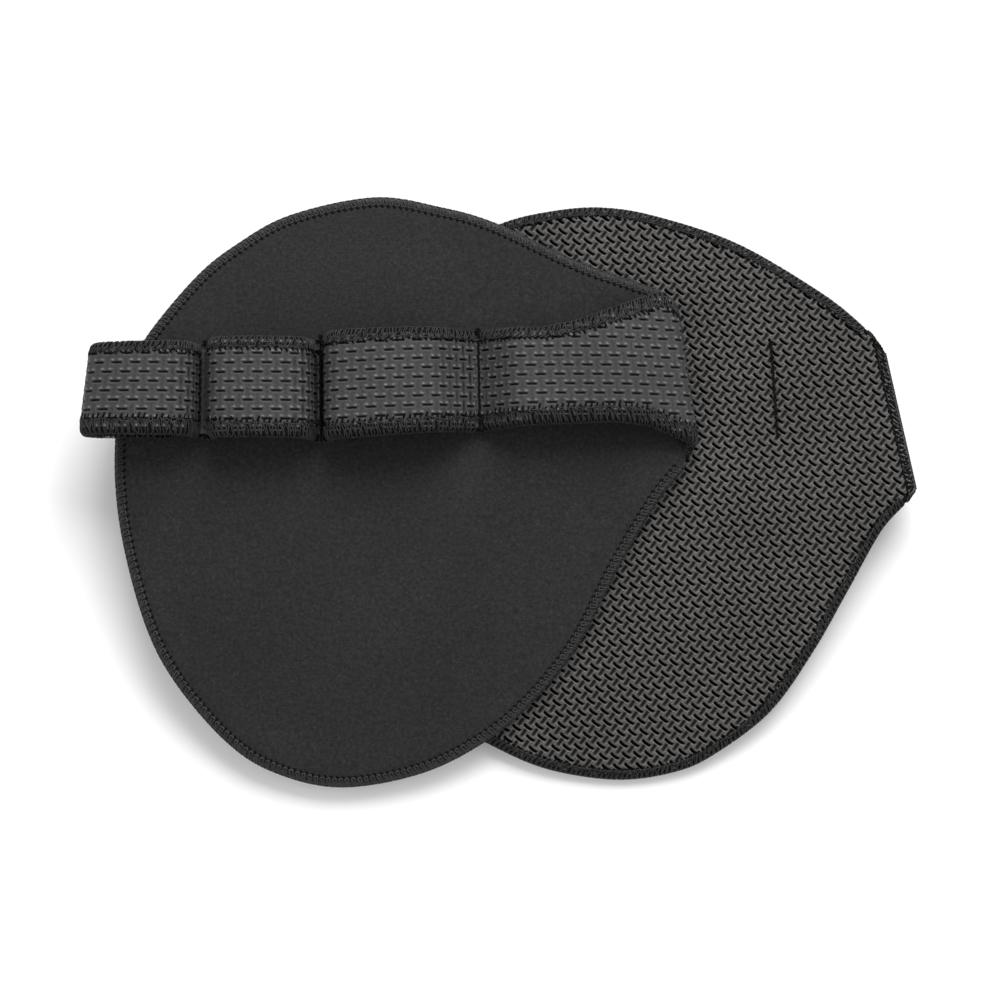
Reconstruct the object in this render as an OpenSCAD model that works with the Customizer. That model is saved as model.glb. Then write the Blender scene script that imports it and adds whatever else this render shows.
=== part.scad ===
// A pair of neoprene palm grips with finger loops, lying one on the other.
// Each grip is one laminate blank: a teardrop palm pad whose narrow tail is folded over and
// tacked back onto the pad as a strap with four finger loops. The front grip lies jersey
// side up with its loops on top. The rear grip lies rubber side up and stands on its loops.
// +X runs from the little finger to the fold, +Y towards the fingertips, +Z up.

/* [Laminate] */
// Thickness of the knitted jersey face
jersey_t = 0.4; // [0.3:0.1:0.6]
// Thickness of the foam core
foam_t = 1.8; // [1.4:0.1:2]
// Thickness of the embossed rubber grip face
rubber_t = 0.8; // [0.6:0.1:1]
// Width of the overlocked edge
overlock_w = 1; // [0.6:0.1:1.4]
// Thickness of the seam thread that crosses the rubber along the fold
seam_t = 0.25; // [0.2:0.05:0.3]

/* [Stack] */
// Height of the rear pad's underside over the table
rear_lift = 11; // [10.5:0.5:12]
// Air gap between the two pads
nest_gap = 0.6; // [0.5:0.1:2]
// Y of the line where the pads start to sag towards the heel
heel_y = 2; // [0:0.5:3]
// Gap at the heel line, where the front pad bends
heel_gap = 0.3; // [0.2:0.1:0.6]
// How sharply the heel sags, from 1 for a straight slope
sag_power = 1.5; // [1.2:0.1:2]

/* [Loops] */
// Height of the front finger loops at their shoulders, middle of strap to middle of strap
front_loop_h = 10.5; // [9.5:0.5:14]
// Height of the front index finger loop, middle of strap to middle of strap
front_index_h = 8.5; // [8:0.5:10]
// Half angle of the bow across the top of each front loop
front_bow = 12; // [6:1:16]
// Radius of the strap where it turns down into a tack
valley_r = 2.4; // [2:0.1:2.4]
// Radius of the strap at the fold beside the index finger
fold_r = 2.6; // [2.2:0.1:3]
// Slope at which the strap leaves the fold
fold_rise = 25; // [24:1:28]
// How far the strap's tucked-in end stops short of the last tack
end_gap = 8; // [7:0.5:12]

/* [Tacks] */
// Radius of the tack thread
thread_r = 0.2; // [0.1:0.05:0.2]
// Length of one stitch
stitch_l = 2.4; // [1.8:0.2:3]
// Distance from one stitch to the next
stitch_pitch = 3; // [3:0.2:4]

/* [Front grip] */
// X of the front grip's fold, on the reference line
front_fold_x = 48;
// X of the front tacks, from the index finger to the little finger
front_tacks = [-4.5, -44, -73];
// Slope of the strap on the fold side of the last three front loops, first the index loop's far side
front_slopes = [45, 45, 76, 76];
// Slope of the strap on the little finger side of the middle and ring loops
front_backs = [92, 92];
// X of the outer end of the front strap
front_end_x = -102.3;
// Front pad outline from the top of the fold round to its foot
front_points = [
    [44.5, 49.2], [39.5, 51], [20.75, 57.6], [-0.25, 67.4], [-14.25, 71.5], [-31, 74],
    [-52.25, 69.4], [-66, 61.7], [-76, 53.4], [-87.75, 39], [-93.5, 27.7], [-95.75, 10],
    [-94.25, -10], [-88.5, -32.5], [-81, -47.5], [-68, -62.7], [-55.75, -70.4], [-39.25, -74],
    [-19.25, -70.6], [-3.25, -62.8], [9.25, -52.5], [20.75, -38], [30.75, -18.75],
    [40.5, -2.5], [46, 4.2], [50.9, 10.75]
];

/* [Rear grip] */
// X of the rear grip's fold, on the reference line
rear_fold_x = 99.5;
// X of the rear tacks, from the index finger to the little finger
rear_tacks = [69.5, 34, -0.5];
// X of the outer end of the rear strap
rear_end_x = -41;
// Rear pad outline from the top of the fold round to its foot
rear_points = [
    [97.9, 35.5], [91, 42.9], [80.75, 50.9], [60.75, 62.7], [40.75, 69.5], [27, 71.9],
    [14, 71], [0.75, 67.7], [-14, 59.9], [-26, 48.8], [-34, 34.2], [-38, 15], [-38, -6],
    [-33, -27], [-24, -44], [-11.5, -57], [0.75, -64.5], [14, -69.7], [30.75, -72],
    [45, -70], [55, -65.5], [68.75, -55], [79.5, -40], [88, -25], [96.4, -10],
    [102.6, -3], [105.1, 0.75]
];

/* [Hidden] */

laminate_t = jersey_t + foam_t + rubber_t;
half_t = laminate_t / 2;
rear_top = rear_lift + laminate_t;
front_low = rear_top + nest_gap;
front_top = front_low + laminate_t;

// Y of the reference line that crosses the straps, where fold and tack positions are given
strap_y = 28;
// Y of the rear pad's heel, which touches the table
heel_end_y = -72;
// Bend steps: degrees and millimetres between sections of a strap
turn_step = 15;
run_step = 7;
// Sections between two outline points
outline_steps = 4;
// Size of the boxes that cut the pads, larger than the object
reach = 300;
// Clearance under a stitch, and how far the last stitches are from the strap's end
stitch_air = 0.03;
end_margin = 2;

// The strap's edges: Y of the far and near edges over X, first along the strap, then on the
// pad side of the fold; last, how far X shifts for each millimetre of Y
front_rails = [
    [[-104, 35.9], [-75, 36.5], [-70, 37.5], [-47, 37.5], [-41, 39.1], [-24, 39.7],
     [-5, 40], [12, 40], [20, 41.6], [28, 44.1], [36, 46.9], [43.5, 49.6], [45, 49.6],
     [46.5, 47.5]],
    [[-104, 12.7], [-75, 12.5], [-70, 12], [-47, 11.8], [-41, 11.4], [-24, 12.6],
     [-5, 14.1], [8, 15.1], [28, 15.9], [36, 15.1], [46.5, 10.75]],
    [[43.9, 50.5], [46.5, 47.5]],
    [[43.9, 6], [46.5, 10.75]],
    [[-104, 0.13], [-73, 0], [-5, -0.02], [20, -0.08], [40, -0.151]]
];
rear_rails = [
    [[-42, 37.5], [70, 37.5], [84, 36.5], [98, 35.5]],
    [[-42, 13.5], [70, 13.5], [84, 10], [98, 0.75]],
    [[95.4, 41.2], [98, 35.5]],
    [[95.4, -3.5], [98, 0.75]],
    [[-42, 0], [60, -0.02], [70, -0.07], [90, -0.218]]
];

// One point on a Catmull-Rom curve between b and c
function curve_point(a, b, c, d, t) =
    0.5 * (2 * b + (c - a) * t + (2 * a - 5 * b + 4 * c - d) * t * t
        + (3 * b - a - 3 * c + d) * t * t * t);

// A smooth open curve through the points
function curve(p) =
    let (last = len(p) - 1)
    concat(
        [for (i = [0:last - 1]) for (k = [0:outline_steps - 1])
            curve_point(p[max(i - 1, 0)], p[i], p[i + 1], p[min(i + 2, last)],
                k / outline_steps)],
        [p[last]]
    );

// The same curve moved inwards, to the left of its direction
function inset(p, d) =
    let (last = len(p) - 1)
    [for (i = [0:last])
        let (t = p[min(i + 1, last)] - p[max(i - 1, 0)])
        p[i] + d * [-t.y, t.x] / norm(t)];

front_outline = curve(front_points);
rear_outline = curve(rear_points);

// How far a pad has sagged below its flat part
function sag(y) =
    y >= heel_y ? 0 : rear_lift * pow((heel_y - y) / (heel_y - heel_end_y), sag_power);

sag_line = concat([for (y = [-80:8:-8]) y], [-3, heel_y, 90]);

// A sheet between two heights that sags towards the heel, endless along X
module sagging_sheet(low, high) {
    above = [for (y = sag_line) [y, high - sag(y)]];
    below = [for (i = [len(sag_line) - 1:-1:0]) [sag_line[i], low - sag(sag_line[i])]];
    translate([-reach / 2, 0, 0])
        rotate([90, 0, 90])
            linear_extrude(height = reach)
                polygon(concat(above, below));
}

// Everything on the pad's side of the line where the fold begins
module pad_side(fold_x, shift) {
    translate([fold_x - half_t - fold_r, strap_y, -reach / 2])
        rotate([0, 0, -atan(shift)])
            translate([-reach, -reach / 2, 0])
                cube([reach, reach, reach]);
}

module prism(outline) {
    translate([0, 0, -reach / 4])
        linear_extrude(height = reach / 2)
            polygon(outline);
}

// Everything from one Y to another
module band(from_y, to_y) {
    translate([-reach / 2, from_y, -reach / 2])
        cube([reach, to_y - from_y, reach]);
}

// One layer of the front pad, over a range of Y
module front_layer(low, high, from_y, to_y) {
    intersection() {
        prism(inset(front_outline, overlock_w));
        sagging_sheet(low, high);
        pad_side(front_fold_x, front_rails[4][4][1]);
        band(from_y, to_y);
    }
}

module front_edge(from_y, to_y) {
    intersection() {
        difference() {
            prism(front_outline);
            prism(inset(front_outline, overlock_w));
        }
        sagging_sheet(front_low, front_top);
        pad_side(front_fold_x, front_rails[4][4][1]);
        band(from_y, to_y);
    }
}

module rear_layer(low, high) {
    intersection() {
        prism(inset(rear_outline, overlock_w));
        sagging_sheet(low, high);
        pad_side(rear_fold_x, rear_rails[4][3][1]);
    }
}

module rear_edge() {
    intersection() {
        difference() {
            prism(rear_outline);
            prism(inset(rear_outline, overlock_w));
        }
        sagging_sheet(rear_lift, rear_top);
        pad_side(rear_fold_x, rear_rails[4][3][1]);
    }
}

// A strap is a path of [length, turn] pieces walked in the XZ plane. A place on it is
// [x, z, heading], with z from the middle of the pad, and the rubber on its right.
function arc(r, turn) = [r * abs(turn) * PI / 180, turn];

function step_on(place, piece) =
    let (
        l = piece[0],
        turn = piece[1],
        h = place[2],
        r = turn == 0 ? 0 : l * 180 / (turn * PI)
    )
    turn == 0
        ? [place.x + l * cos(h), place.y + l * sin(h), h]
        : [place.x + r * (sin(h + turn) - sin(h)), place.y - r * (cos(h + turn) - cos(h)),
            h + turn];

function sections(piece) =
    max(1, ceil(abs(piece[1]) / turn_step), ceil(piece[0] / run_step));

function walk(pieces, place, i = 0) =
    i == len(pieces)
        ? []
        : let (n = sections(pieces[i]))
        concat(
            [for (k = [1:n]) step_on(place, pieces[i] * k / n)],
            walk(pieces, step_on(place, pieces[i]), i + 1)
        );

// The straight stretch of a loop's side that climbs h at slope s and meets a bow of b
function side_run(h, s, b, r) =
    (h - valley_r * (1 - cos(s)) - r * (cos(b) - cos(s))) / sin(s);

// The distance along X that such a side takes up
function side_width(h, s, b, r) =
    valley_r * sin(s) + side_run(h, s, b, r) * cos(s) + r * (sin(s) - sin(b));

function side_up(h, s, b, r) = [arc(valley_r, -s), [side_run(h, s, b, r), 0], arc(r, s - b)];

function side_down(h, s, b, r) = [arc(r, s - b), [side_run(h, s, b, r), 0], arc(valley_r, -s)];

function crown(w, b) = b == 0 ? [w, 0] : [w * b * PI / (180 * sin(b)), 2 * b];

// The index finger loop, from the fold to the first tack
function index_pieces(start_x, h, tack_x, s, r) =
    let (
        bow_rad = fold_rise * PI / 180,
        climb = h - (fold_r * (1 + cos(fold_rise)) - laminate_t)
            - index_bow_l * (1 - cos(fold_rise)) / bow_rad,
        run = climb / sin(fold_rise),
        crown_x = start_x + fold_r * sin(fold_rise) - run * cos(fold_rise)
            - index_bow_l * sin(fold_rise) / bow_rad
    )
    concat(
        [arc(fold_r, 180 - fold_rise), [run, 0], [index_bow_l, fold_rise]],
        [[crown_x - tack_x - side_width(h, s, 0, r), 0]],
        side_down(h, s, 0, r)
    );

// A loop between two tacks
function loop_pieces(from_x, to_x, h, s_up, s_down, b, r) =
    let (w = from_x - to_x - side_width(h, s_up, b, r) - side_width(h, s_down, b, r))
    concat(side_up(h, s_up, b, r), [crown(w, b)], side_down(h, s_down, b, r));

// The little finger loop, which turns back under itself and ends on the pad
function end_pieces(tack_x, end_x, h, s, b, r, turn_r) =
    let (w = tack_x - side_width(h, s, b, r) - end_x - half_t - turn_r * (1 - sin(b)))
    concat(
        side_up(h, s, b, r),
        [crown(w, b), arc(turn_r, 90 - b), [h - turn_r * (1 + cos(b)), 0], arc(turn_r, 90)],
        [[tack_x - end_gap - end_x - half_t - turn_r, 0]]
    );

// Length of the bend where the index finger loop levels out
index_bow_l = 10;

front_shoulder_r = 4.6;
front_turn_r = 4.4;
front_start = [front_fold_x - half_t - fold_r, 0, 0];
front_path = concat(
    [front_start],
    walk(
        concat(
            index_pieces(front_start.x, front_index_h, front_tacks[0], front_slopes[0],
                front_shoulder_r),
            [for (i = [0, 1]) each loop_pieces(front_tacks[i], front_tacks[i + 1],
                front_loop_h, front_slopes[i + 1], front_backs[i], front_bow,
                front_shoulder_r)],
            end_pieces(front_tacks[2], front_end_x, front_loop_h, front_slopes[3],
                front_bow, front_shoulder_r, front_turn_r)
        ),
        front_start
    )
);

// The rear loops carry the weight of both grips, so their outer runs are flat
rear_slope = 80;
rear_shoulder_r = 3.2;
rear_turn_r = 2.9;
rear_loop_h = rear_lift - laminate_t;
rear_start = [rear_fold_x - half_t - fold_r, 0, 0];
rear_path = concat(
    [rear_start],
    walk(
        concat(
            index_pieces(rear_start.x, rear_loop_h, rear_tacks[0], rear_slope,
                rear_shoulder_r),
            [for (i = [0, 1]) each loop_pieces(rear_tacks[i], rear_tacks[i + 1],
                rear_loop_h, rear_slope, rear_slope, 0, rear_shoulder_r)],
            end_pieces(rear_tacks[2], rear_end_x, rear_loop_h, rear_slope, 0,
                rear_shoulder_r, rear_turn_r)
        ),
        rear_start
    )
);

// A strap's edges at one place: Y of the near edge, Y of the far edge, shift of X with Y
function edges(place, rails) =
    let (on_pad = place[2] < 90)
    [lookup(place.x, rails[on_pad ? 3 : 1]), lookup(place.x, rails[on_pad ? 2 : 0]),
        lookup(place.x, rails[4])];

// A corner of a strap's section, at a given Y and a distance from its middle to its rubber
function corner(place, shift, y, d) =
    [place.x + d * sin(place[2]) + shift * (y - strap_y), y, place.y - d * cos(place[2])];

// The strip of a strap that fills the given levels, which are distances from its middle.
// side is -1 for the near overlocked edge, 1 for the far one and 0 for what lies between.
module strap_strip(path, rails, levels, side) {
    top = len(levels) - 1;
    m = 2 * len(levels);
    points = [for (place = path)
        let (
            e = edges(place, rails),
            near = side == 1 ? e[1] - overlock_w : side == -1 ? e[0] : e[0] + overlock_w,
            far = side == -1 ? e[0] + overlock_w : side == 1 ? e[1] : e[1] - overlock_w
        )
        each concat(
            [corner(place, e[2], near, levels[0])],
            [for (d = levels) corner(place, e[2], far, d)],
            [for (i = [top:-1:1]) corner(place, e[2], near, levels[i])]
        )];
    sides = [for (i = [0:len(path) - 2]) for (k = [0:m - 1])
        let (a = m * i + k, b = m * i + (k + 1) % m)
        each (k > top
            ? [[a, b, b + m], [a, b + m, a + m]]
            : [[a, b, a + m], [b, b + m, a + m]])];
    last = m * (len(path) - 1);
    ends = [for (i = [0:top - 1])
        let (a = (m - i) % m, b = i + 1, c = i + 2, d = m - i - 1)
        each [[a, c, b], [a, d, c], [last + a, last + b, last + c],
            [last + a, last + c, last + d]]];
    polyhedron(points, concat(sides, ends), convexity = 12);
}

module front_strap(levels, side, path = front_path) {
    translate([0, 0, front_low + half_t])
        strap_strip(path, front_rails, levels, side);
}

module rear_strap(levels, side, path = rear_path) {
    translate([0, 0, rear_lift + half_t])
        mirror([0, 0, 1])
            strap_strip(path, rear_rails, levels, side);
}

// The pad's half of the fold, where the seam thread lies
function seam_path(path) = [for (place = path) if (place[2] > 20 && place[2] < 90) place];

// A row of stitches from one Y to another, turned with the strap about the reference line
module stitch_row(x, shift, from_y, to_y, z) {
    count = floor((to_y - from_y - stitch_l) / stitch_pitch);
    translate([x, strap_y, z])
        rotate([0, 0, -atan(shift)])
            for (i = [0:count])
                translate([0, from_y - strap_y + i * stitch_pitch, 0])
                    rotate([-90, 0, 0])
                        cylinder(h = stitch_l, r = thread_r, $fn = 16);
}

// A tack holds a strap to its pad, with thread showing on both sides
module tack(x, rails, low, high) {
    lay = thread_r + stitch_air;
    shift = lookup(x, rails[4]);
    from_y = lookup(x, rails[1]) + overlock_w + 0.5;
    to_y = lookup(x, rails[0]) - overlock_w;
    color("#161616") {
        stitch_row(x, shift, from_y, to_y, high + lay);
        stitch_row(x, shift, from_y, to_y, low - lay);
    }
}

module front_tack(x) {
    tack(x, front_rails, front_low, front_top + laminate_t);
}

module rear_tack(x) {
    tack(x, rear_rails, rear_lift - laminate_t, rear_top);
}

// Levels of the layers from the middle of the laminate, the jersey side first
jersey_levels = [-half_t, jersey_t - half_t];
foam_levels = [jersey_t - half_t, half_t - rubber_t];
rubber_levels = [half_t - rubber_t, half_t];
edge_levels = [-half_t, jersey_t - half_t, half_t - rubber_t, half_t];
seam_levels = [half_t, half_t + seam_t];

module front_pad_jersey() {
    color("#353535") front_layer(front_top - jersey_t, front_top, heel_y, reach / 2);
}

module front_pad_foam() {
    color("#262626")
        front_layer(front_low + rubber_t, front_top - jersey_t, heel_y, reach / 2);
}

module front_pad_rubber() {
    color("#4c4c4c") front_layer(front_low, front_low + rubber_t, heel_y, reach / 2);
}

module front_pad_overlock() {
    color("#1c1c1c") front_edge(heel_y, reach / 2);
}

module front_heel_jersey() {
    color("#353535")
        front_layer(front_top - jersey_t, front_top, -reach / 2, heel_y - heel_gap);
}

module front_heel_foam() {
    color("#262626")
        front_layer(front_low + rubber_t, front_top - jersey_t, -reach / 2,
            heel_y - heel_gap);
}

module front_heel_rubber() {
    color("#4c4c4c")
        front_layer(front_low, front_low + rubber_t, -reach / 2, heel_y - heel_gap);
}

module front_heel_overlock() {
    color("#1c1c1c") front_edge(-reach / 2, heel_y - heel_gap);
}

module front_strap_jersey() {
    color("#353535") front_strap(jersey_levels, 0);
}

module front_strap_foam() {
    color("#262626") front_strap(foam_levels, 0);
}

module front_strap_rubber() {
    color("#4c4c4c") front_strap(rubber_levels, 0);
}

module front_strap_overlock() {
    color("#1c1c1c")
        for (side = [-1, 1]) front_strap(edge_levels, side);
}

module front_tack_index() {
    front_tack(front_tacks[0]);
}

module front_tack_middle() {
    front_tack(front_tacks[1]);
}

module front_tack_ring() {
    front_tack(front_tacks[2]);
}

module front_tack_end() {
    front_tack(front_tacks[2] - end_gap - end_margin);
}

module front_fold_seam() {
    color("#161616") front_strap(seam_levels, 0, seam_path(front_path));
}

module rear_pad_jersey() {
    color("#353535") rear_layer(rear_lift, rear_lift + jersey_t);
}

module rear_pad_foam() {
    color("#262626") rear_layer(rear_lift + jersey_t, rear_top - rubber_t);
}

module rear_pad_rubber() {
    color("#4c4c4c") rear_layer(rear_top - rubber_t, rear_top);
}

module rear_pad_overlock() {
    color("#1c1c1c") rear_edge();
}

module rear_strap_jersey() {
    color("#353535") rear_strap(jersey_levels, 0);
}

module rear_strap_foam() {
    color("#262626") rear_strap(foam_levels, 0);
}

module rear_strap_rubber() {
    color("#4c4c4c") rear_strap(rubber_levels, 0);
}

module rear_strap_overlock() {
    color("#1c1c1c")
        for (side = [-1, 1]) rear_strap(edge_levels, side);
}

module rear_tack_index() {
    rear_tack(rear_tacks[0]);
}

module rear_tack_middle() {
    rear_tack(rear_tacks[1]);
}

module rear_tack_ring() {
    rear_tack(rear_tacks[2]);
}

module rear_tack_end() {
    rear_tack(rear_tacks[2] - end_gap - end_margin);
}

module rear_fold_seam() {
    color("#161616") rear_strap(seam_levels, 0, seam_path(rear_path));
}

front_pad_jersey();
front_pad_foam();
front_pad_rubber();
front_pad_overlock();
front_heel_jersey();
front_heel_foam();
front_heel_rubber();
front_heel_overlock();
front_strap_jersey();
front_strap_foam();
front_strap_rubber();
front_strap_overlock();
front_tack_index();
front_tack_middle();
front_tack_ring();
front_tack_end();
front_fold_seam();
rear_pad_jersey();
rear_pad_foam();
rear_pad_rubber();
rear_pad_overlock();
rear_strap_jersey();
rear_strap_foam();
rear_strap_rubber();
rear_strap_overlock();
rear_tack_index();
rear_tack_middle();
rear_tack_ring();
rear_tack_end();
rear_fold_seam();
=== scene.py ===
import math

import bpy
import bmesh
import numpy as np
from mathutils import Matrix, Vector


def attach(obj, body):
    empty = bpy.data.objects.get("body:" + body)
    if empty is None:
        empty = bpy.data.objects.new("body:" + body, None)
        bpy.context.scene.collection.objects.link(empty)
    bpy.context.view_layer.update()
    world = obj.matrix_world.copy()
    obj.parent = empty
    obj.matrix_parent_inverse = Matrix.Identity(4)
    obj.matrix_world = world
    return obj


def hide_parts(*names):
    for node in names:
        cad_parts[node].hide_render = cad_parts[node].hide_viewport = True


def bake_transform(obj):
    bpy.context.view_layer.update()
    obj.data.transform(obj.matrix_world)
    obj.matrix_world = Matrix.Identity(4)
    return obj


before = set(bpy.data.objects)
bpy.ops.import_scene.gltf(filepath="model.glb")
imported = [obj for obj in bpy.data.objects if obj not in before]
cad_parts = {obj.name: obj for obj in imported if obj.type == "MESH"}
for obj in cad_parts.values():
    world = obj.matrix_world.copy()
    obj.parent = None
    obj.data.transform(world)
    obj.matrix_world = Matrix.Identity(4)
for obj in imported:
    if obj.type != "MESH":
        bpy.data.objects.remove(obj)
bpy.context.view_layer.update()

# ---------------------------------------------------------------- sizes, in millimetres
MM = 0.001
JERSEY, FOAM, RUBBER = 0.4, 1.8, 0.8
HALF = (JERSEY + FOAM + RUBBER) / 2
REAR_LIFT, NEST = 11.0, 0.6
REAR_MID = REAR_LIFT + HALF
FRONT_MID = REAR_LIFT + 2 * HALF + NEST + HALF
HEEL_Y, HEEL_END, SAG_POWER = 2.0, -72.0, 1.5
VALLEY_R, FOLD_R, FOLD_RISE, INDEX_BOW = 2.4, 2.6, 25.0, 10.0
STRAP_Y = 28.0
END_GAP, END_MARGIN = 8.0, 2.0
OVERRUN = 1.0
LEAST = 0.75                        # the faces and the foam stop this far inside the edge
BAND = 2.35                         # the needle line's distance inside the edge
ROLL, RIM, RIM_R = 0.42, 0.95, 0.65     # how far the faces drop, and the edging's round rim
FAR, NEAR, FAR_PAD, NEAR_PAD, SLANT = range(5)      # what each rail of a grip gives


# ---------------------------------------------------------------- the straps' paths
def arc(r, turn):
    return (r * math.radians(abs(turn)), turn)


def side_run(h, s, b, r):
    cs, cb = math.cos(math.radians(s)), math.cos(math.radians(b))
    return (h - VALLEY_R * (1 - cs) - r * (cb - cs)) / math.sin(math.radians(s))


def side_width(h, s, b, r):
    ss, sb = math.sin(math.radians(s)), math.sin(math.radians(b))
    return VALLEY_R * ss + side_run(h, s, b, r) * math.cos(math.radians(s)) + r * (ss - sb)


def side_up(h, s, b, r):
    return [arc(VALLEY_R, -s), (side_run(h, s, b, r), 0), arc(r, s - b)]


def side_down(h, s, b, r):
    return [arc(r, s - b), (side_run(h, s, b, r), 0), arc(VALLEY_R, -s)]


def crown(w, b):
    return (w, 0) if b == 0 else (w * math.radians(b) / math.sin(math.radians(b)), 2 * b)


def index_pieces(start_x, h, tack_x, s, r):
    rise = math.radians(FOLD_RISE)
    climb = (h - (FOLD_R * (1 + math.cos(rise)) - 2 * HALF)
             - INDEX_BOW * (1 - math.cos(rise)) / rise)
    run = climb / math.sin(rise)
    crown_x = (start_x + FOLD_R * math.sin(rise) - run * math.cos(rise)
               - INDEX_BOW * math.sin(rise) / rise)
    return ([arc(FOLD_R, 180 - FOLD_RISE), (run, 0), (INDEX_BOW, FOLD_RISE),
             (crown_x - tack_x - side_width(h, s, 0, r), 0)] + side_down(h, s, 0, r))


def loop_pieces(from_x, to_x, h, up, down, b, r):
    w = from_x - to_x - side_width(h, up, b, r) - side_width(h, down, b, r)
    return side_up(h, up, b, r) + [crown(w, b)] + side_down(h, down, b, r)


def end_pieces(tack_x, end_x, h, s, b, r, turn_r):
    sb, cb = math.sin(math.radians(b)), math.cos(math.radians(b))
    w = tack_x - side_width(h, s, b, r) - end_x - HALF - turn_r * (1 - sb)
    return (side_up(h, s, b, r)
            + [crown(w, b), arc(turn_r, 90 - b), (h - turn_r * (1 + cb), 0), arc(turn_r, 90),
               (tack_x - END_GAP - end_x - HALF - turn_r, 0)])


def walk(pieces, start, step=0.2):
    """Rows of distance, x, z, heading in radians, along the middle of the laminate."""
    x, z, h = start
    rows, at = [(0.0, x, z, h)], 0.0
    for length, turn in pieces:
        n = max(2, int(math.ceil(length / step)))
        for k in range(1, n + 1):
            l, t = length * k / n, math.radians(turn * k / n)
            if turn == 0:
                px, pz = x + l * math.cos(h), z + l * math.sin(h)
            else:
                r = l / t
                px = x + r * (math.sin(h + t) - math.sin(h))
                pz = z - r * (math.cos(h + t) - math.cos(h))
            rows.append((at + l, px, pz, h + t))
        at += length
        x, z, h = px, pz, h + t
    return np.array(rows)


def smooth(t):
    t = np.clip(t, 0, 1)
    return t * t * (3 - 2 * t)


def sag(y):
    return REAR_LIFT * (np.clip(HEEL_Y - y, 0, None) / (HEEL_Y - HEEL_END)) ** SAG_POWER


def ripple(x, y, z):
    """The gentle unevenness of a pad that has been handled. It dies away on the table."""
    w = (0.16 * np.sin(x / 19.0 + 0.8) * np.sin(y / 23.0 - 0.4)
         + 0.08 * np.sin(x / 8.3 - y / 11.7 + 1.9) + 0.05 * np.sin(x / 5.1 + y / 6.3))
    return w * np.clip(z / 9.0, 0, 1) * smooth((y + 70) / 22)


def curve(points, steps=10):
    p = np.array(points, float)
    last, out = len(p) - 1, []
    for i in range(last):
        a, b, c, d = p[max(i - 1, 0)], p[i], p[i + 1], p[min(i + 2, last)]
        for k in range(steps):
            t = k / steps
            out.append(0.5 * (2 * b + (c - a) * t + (2 * a - 5 * b + 4 * c - d) * t * t
                              + (3 * b - a - 3 * c + d) * t ** 3))
    out.append(p[last])
    return np.array(out)


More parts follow.
